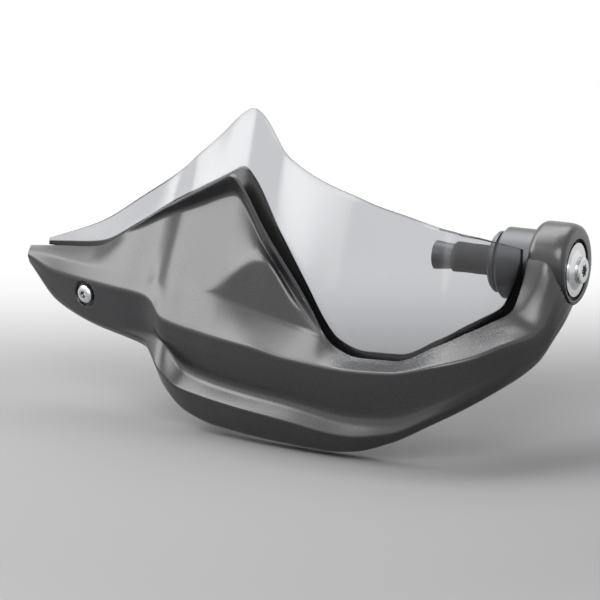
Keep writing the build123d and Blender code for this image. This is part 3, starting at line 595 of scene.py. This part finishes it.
grid, shade_band_depth = screen_grid()
screen = surface("screen_sheet", [grid])
mask = screen.data.attributes.new("shade_band_depth", "FLOAT", "POINT")
mask.data.foreach_set("value", shade_band_depth.ravel().astype(np.float32))
smoke_dark, smoke_light = (0.54, 0.545, 0.565, 1), (0.57, 0.575, 0.595, 1)
painted_shade_black = (0.008, 0.008, 0.009, 1)
smoke, shade, shader = finish("smoke_polycarbonate", Transmission_Weight=1.0, IOR=1.45)
haze = shade.noise(scale=9.0, detail=2.0)
mottled(shade, shader, haze, smoke_dark, smoke_light, roughness=0.015, spread=0.02)
# Painted shade: the sheet turns black below the band's edge, standing in for the dark gap between
# screen and shell.
below = shade.make("Attribute", {"attribute_name": "shade_band_depth"}, out="Fac")
painted_shade_mask = below.smooth(-shade_band_fade, shade_band_fade)
clear = Shade(shade.tree, shader.outputs[0])
painted_shade_sheet = shade.make("BsdfPrincipled", values={"Base Color": painted_shade_black, "Roughness": 0.25})
with_painted_shade = shade.make("MixShader", values={0: painted_shade_mask, 1: clear, 2: painted_shade_sheet})
shade.feed(shade.tree.nodes["Material Output"].inputs["Surface"], with_painted_shade)
wear(screen, smoke)
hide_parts("smoked_screen")
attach(screen, "root")


# Screws and washers of the screen
# Black oxide button screws with flat washers, driven from behind through the screen into the
# shell's posts.
oxide_dark, oxide_light = (0.030, 0.031, 0.034, 1), (0.065, 0.066, 0.070, 1)
black_oxide, shade, shader = finish("black_oxide_steel", Metallic=0.9)
blotches = shade.noise(scale=420.0, detail=3.0)
mottled(shade, shader, blotches, oxide_dark, oxide_light, roughness=0.32, spread=0.12)
for node in ("screen_screws", "screen_washers"):
    wear(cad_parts[node], black_oxide)


# Wing bolt, its sleeve, washer and nut
# Bright zinc steel: a button head with a hex socket in the wing's pocket, clamping through a sleeve.
# The colour is painted darker down in the socket by an occlusion mask: painted shade where little
# light comes.
zinc_dark, zinc_light = (0.62, 0.63, 0.64, 1), (0.76, 0.765, 0.77, 1)
painted_socket_shade = (0.03, 0.03, 0.03, 1)
socket_reach, socket_closed, socket_open = 0.003, 0.25, 0.8
bright_zinc, shade, shader = finish("bright_zinc_steel", Metallic=1.0)
spangle = shade.noise(scale=900.0, detail=3.0)
smear = shade.noise(scale=160.0, detail=2.0)
bright = smear.mix(zinc_dark, zinc_light)
# Painted shade: an occlusion mask darkens the colour in the socket and other hollows.
openness = shade.make("AmbientOcclusion", values={"Distance": socket_reach}, out="AO")
lit = openness.smooth(socket_closed, socket_open)
shade.feed(shader.inputs["Base Color"], lit.mix(painted_socket_shade, bright))
shade.feed(shader.inputs["Roughness"], spangle * 0.10 + smear * 0.08 + 0.17)
for node in ("wing_bolt", "wing_sleeve", "wing_washer", "wing_nut"):
    wear(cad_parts[node], bright_zinc)


# Bracket and handlebar clamp
# A bent black anodised plate from the wing's bolt to a split clamp, closed by two cap screws.
# Two more screws hold the plate to the clamp.
anodised_dark, anodised_light = (0.035, 0.036, 0.039, 1), (0.055, 0.056, 0.060, 1)
black_anodised, shade, shader = finish("black_anodised_aluminium", Metallic=0.85)
blast = shade.noise(scale=1500.0, detail=2.0)
mottled(shade, shader, blast, anodised_dark, anodised_light, roughness=0.38, spread=0.1)
matt = shade.make("Bump", values={"Strength": 0.15, "Distance": 0.0001, "Height": blast})
shade.feed(shader.inputs["Normal"], matt)
for node in ("mount_bracket", "clamp_front", "clamp_rear"):
    wear(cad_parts[node], black_anodised)
for node in ("bracket_screws", "clamp_screws"):
    wear(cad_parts[node], bright_zinc)


# Bar-end stack
# Turned satin spacer against the bar's end, steel sleeve in the boss, dished washer and lobed screw
# outside it, and inside the bar a rubber sleeve that the coned nut spreads.
satin_dark, satin_light = (0.085, 0.087, 0.092, 1), (0.12, 0.122, 0.128, 1)
lathe_scale = (9000.0, 12.0, 12.0)
satin_turned, shade, shader = finish("satin_turned_aluminium", Metallic=1.0)
place = shade.make("TexCoord", out="Object")
lathe = shade.make("Mapping", values={"Vector": place, "Scale": lathe_scale})
rings = shade.make("TexNoise", values={"Vector": lathe, "Scale": 1.0, "Detail": 2.0})
mottled(shade, shader, rings, satin_dark, satin_light, roughness=0.28, spread=0.14)
for node in ("bar_end_spacer", "expander_nut"):
    wear(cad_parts[node], satin_turned)
for node in ("boss_sleeve", "bar_end_screw", "cone_washer"):
    wear(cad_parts[node], bright_zinc)
rubber_dark, rubber_light = (0.018, 0.018, 0.019, 1), (0.034, 0.034, 0.035, 1)
black_rubber, shade, shader = finish("black_rubber", Specular_IOR_Level=0.35)
bloom = shade.noise(scale=60.0, detail=2.0)
mottled(shade, shader, bloom, rubber_dark, rubber_light, roughness=0.55, spread=0.15)
wear(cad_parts["expander_sleeve"], black_rubber)


# Studio
# A pale floor under the guard that turns white further out and behind, a white surround, and four
# wide soft lamps: front left, overhead, back right and front right.
guard_middle = (-0.12, -0.03, -0.01)
floor_height, floor_reach = -0.104, 6.0
floor_grey, floor_unlit = (0.39, 0.39, 0.395, 1), (0.04, 0.04, 0.04, 1)
pure_white = (1, 1, 1, 1)
white_start, white_full = 0.3, 1.0
backdrop_direction = (-0.407, 0.914, 0.0)
backdrop_start, backdrop_full = 0.1, 0.38
floor_corners = [
    (-floor_reach, -floor_reach, floor_height),
    (floor_reach, -floor_reach, floor_height),
    (floor_reach, floor_reach, floor_height),
    (-floor_reach, floor_reach, floor_height),
]
floor_mesh = bpy.data.meshes.new("floor")
floor_mesh.from_pydata(floor_corners, [], [(0, 1, 2, 3)])
floor = bpy.data.objects.new("floor", floor_mesh)
bpy.context.scene.collection.objects.link(floor)
pale_floor, shade, shader = finish(
    "pale_floor", Base_Color=floor_grey, Roughness=0.9, Specular_IOR_Level=0.0
)


def seen_direct(shade):
    """One for rays from the camera, off a gloss or through clear plastic, and zero for the rest."""
    camera_ray = shade.make("LightPath", out="Is Camera Ray")
    rays = camera_ray.socket.node.outputs
    glossy = Shade(shade.tree, rays["Is Glossy Ray"])
    through = Shade(shade.tree, rays["Is Transmission Ray"])
    return shade.math("MAXIMUM", shade.math("MAXIMUM", camera_ray, glossy), through)


place = shade.make("TexCoord", out="Object")
floor_middle = (*guard_middle[:2], floor_height)
places = {0: place, 1: floor_middle}
away = shade.make("VectorMath", {"operation": "DISTANCE"}, places, "Value")
far = away.smooth(white_start, white_full)
places = {0: place, 1: backdrop_direction}
behind = shade.make("VectorMath", {"operation": "DOT_PRODUCT"}, places, "Value")
backdrop = behind.smooth(backdrop_start, backdrop_full)
whiteness = shade.math("MAXIMUM", far, backdrop)
white = shade.make("Emission", values={"Color": pure_white, "Strength": 1.0})
grey = Shade(shade.tree, shader.outputs[0])
shown = shade.make("MixShader", values={0: whiteness, 1: grey, 2: white})
unlit = shade.make("BsdfDiffuse", values={"Color": floor_unlit})
both = shade.make("MixShader", values={0: seen_direct(shade), 1: unlit, 2: shown})
shade.feed(shade.tree.nodes["Material Output"].inputs["Surface"], both)
wear(floor, pale_floor)

ambient = 0.08
world = bpy.data.worlds.new("surround")
bpy.context.scene.world = world
world.use_nodes = True
shade = Shade(world.node_tree)
surround = world.node_tree.nodes["Background"]
shade.feed(surround.inputs["Color"], pure_white)
shade.feed(surround.inputs["Strength"], seen_direct(shade) * (1 - ambient) + ambient)

lamp_centre, lamp_rim, lamp_core = (0.5, 0.5, 0.0), 0.5, 0.2


def soft_lamp(name, at, size, power):
    """Square area lamp of a size and power at a place, turned to face the guard's middle. Its glow is
    even out to lamp_core and fades smoothly to nothing at lamp_rim, in shares of its size."""
    lamp = bpy.data.lights.new(name, "AREA")
    lamp.shape, lamp.size, lamp.energy = "SQUARE", size, power
    lamp.use_nodes = True
    shade = Shade(lamp.node_tree)
    across = shade.make("NewGeometry", out="Parametric")
    off = shade.make("VectorMath", {"operation": "DISTANCE"}, {0: across, 1: lamp_centre}, "Value")
    glow = off.smooth(lamp_rim, lamp_core)
    shade.feed(lamp.node_tree.nodes["Emission"].inputs["Strength"], glow)
    holder = bpy.data.objects.new(name, lamp)
    holder.location = at
    x, y, z = np.subtract(at, guard_middle)
    holder.rotation_euler = (np.arctan2(np.hypot(x, y), z), 0, np.arctan2(x, -y))
    bpy.context.scene.collection.objects.link(holder)


soft_lamp("front_left", (-1.02, -0.55, 0.77), size=1.4, power=29.0)
soft_lamp("overhead", (-0.72, 0.10, 1.14), size=1.2, power=18.0)
soft_lamp("back_right", (-0.18, 0.62, 1.12), size=1.3, power=18.0)
soft_lamp("front_right", (0.27, -1.01, 0.75), size=1.2, power=20.0)

# Camera at the height and side of the photograph, far off with a long lens. The anchor is the middle
# of the boss's end, and anchor_pixel is its place in the square frame.
side_angle, height_angle, distance = radians(24.0), radians(15.0), 3.0
frame_pixels, pixel = 600, 0.00058
anchor, anchor_pixel = np.array([0.050, 0.0, 0.0]), (577, 270)
right = np.array([cos(side_angle), sin(side_angle), 0.0])
level = cos(height_angle)
back = np.array([sin(side_angle) * level, -cos(side_angle) * level, sin(height_angle)])
up = np.cross(back, right)
sideways, upwards = frame_pixels / 2 - anchor_pixel[0], anchor_pixel[1] - frame_pixels / 2
centre = anchor + right * sideways * pixel + up * upwards * pixel
camera = bpy.data.cameras.new("camera")
camera.sensor_width = 36.0
camera.lens = camera.sensor_width * distance / (frame_pixels * pixel)
holder = bpy.data.objects.new("camera", camera)
holder.location = centre + back * distance
holder.rotation_euler = (radians(90.0) - height_angle, 0, side_angle)
bpy.context.scene.collection.objects.link(holder)
bpy.context.scene.camera = holder
bpy.context.scene.view_settings.view_transform = "Standard"
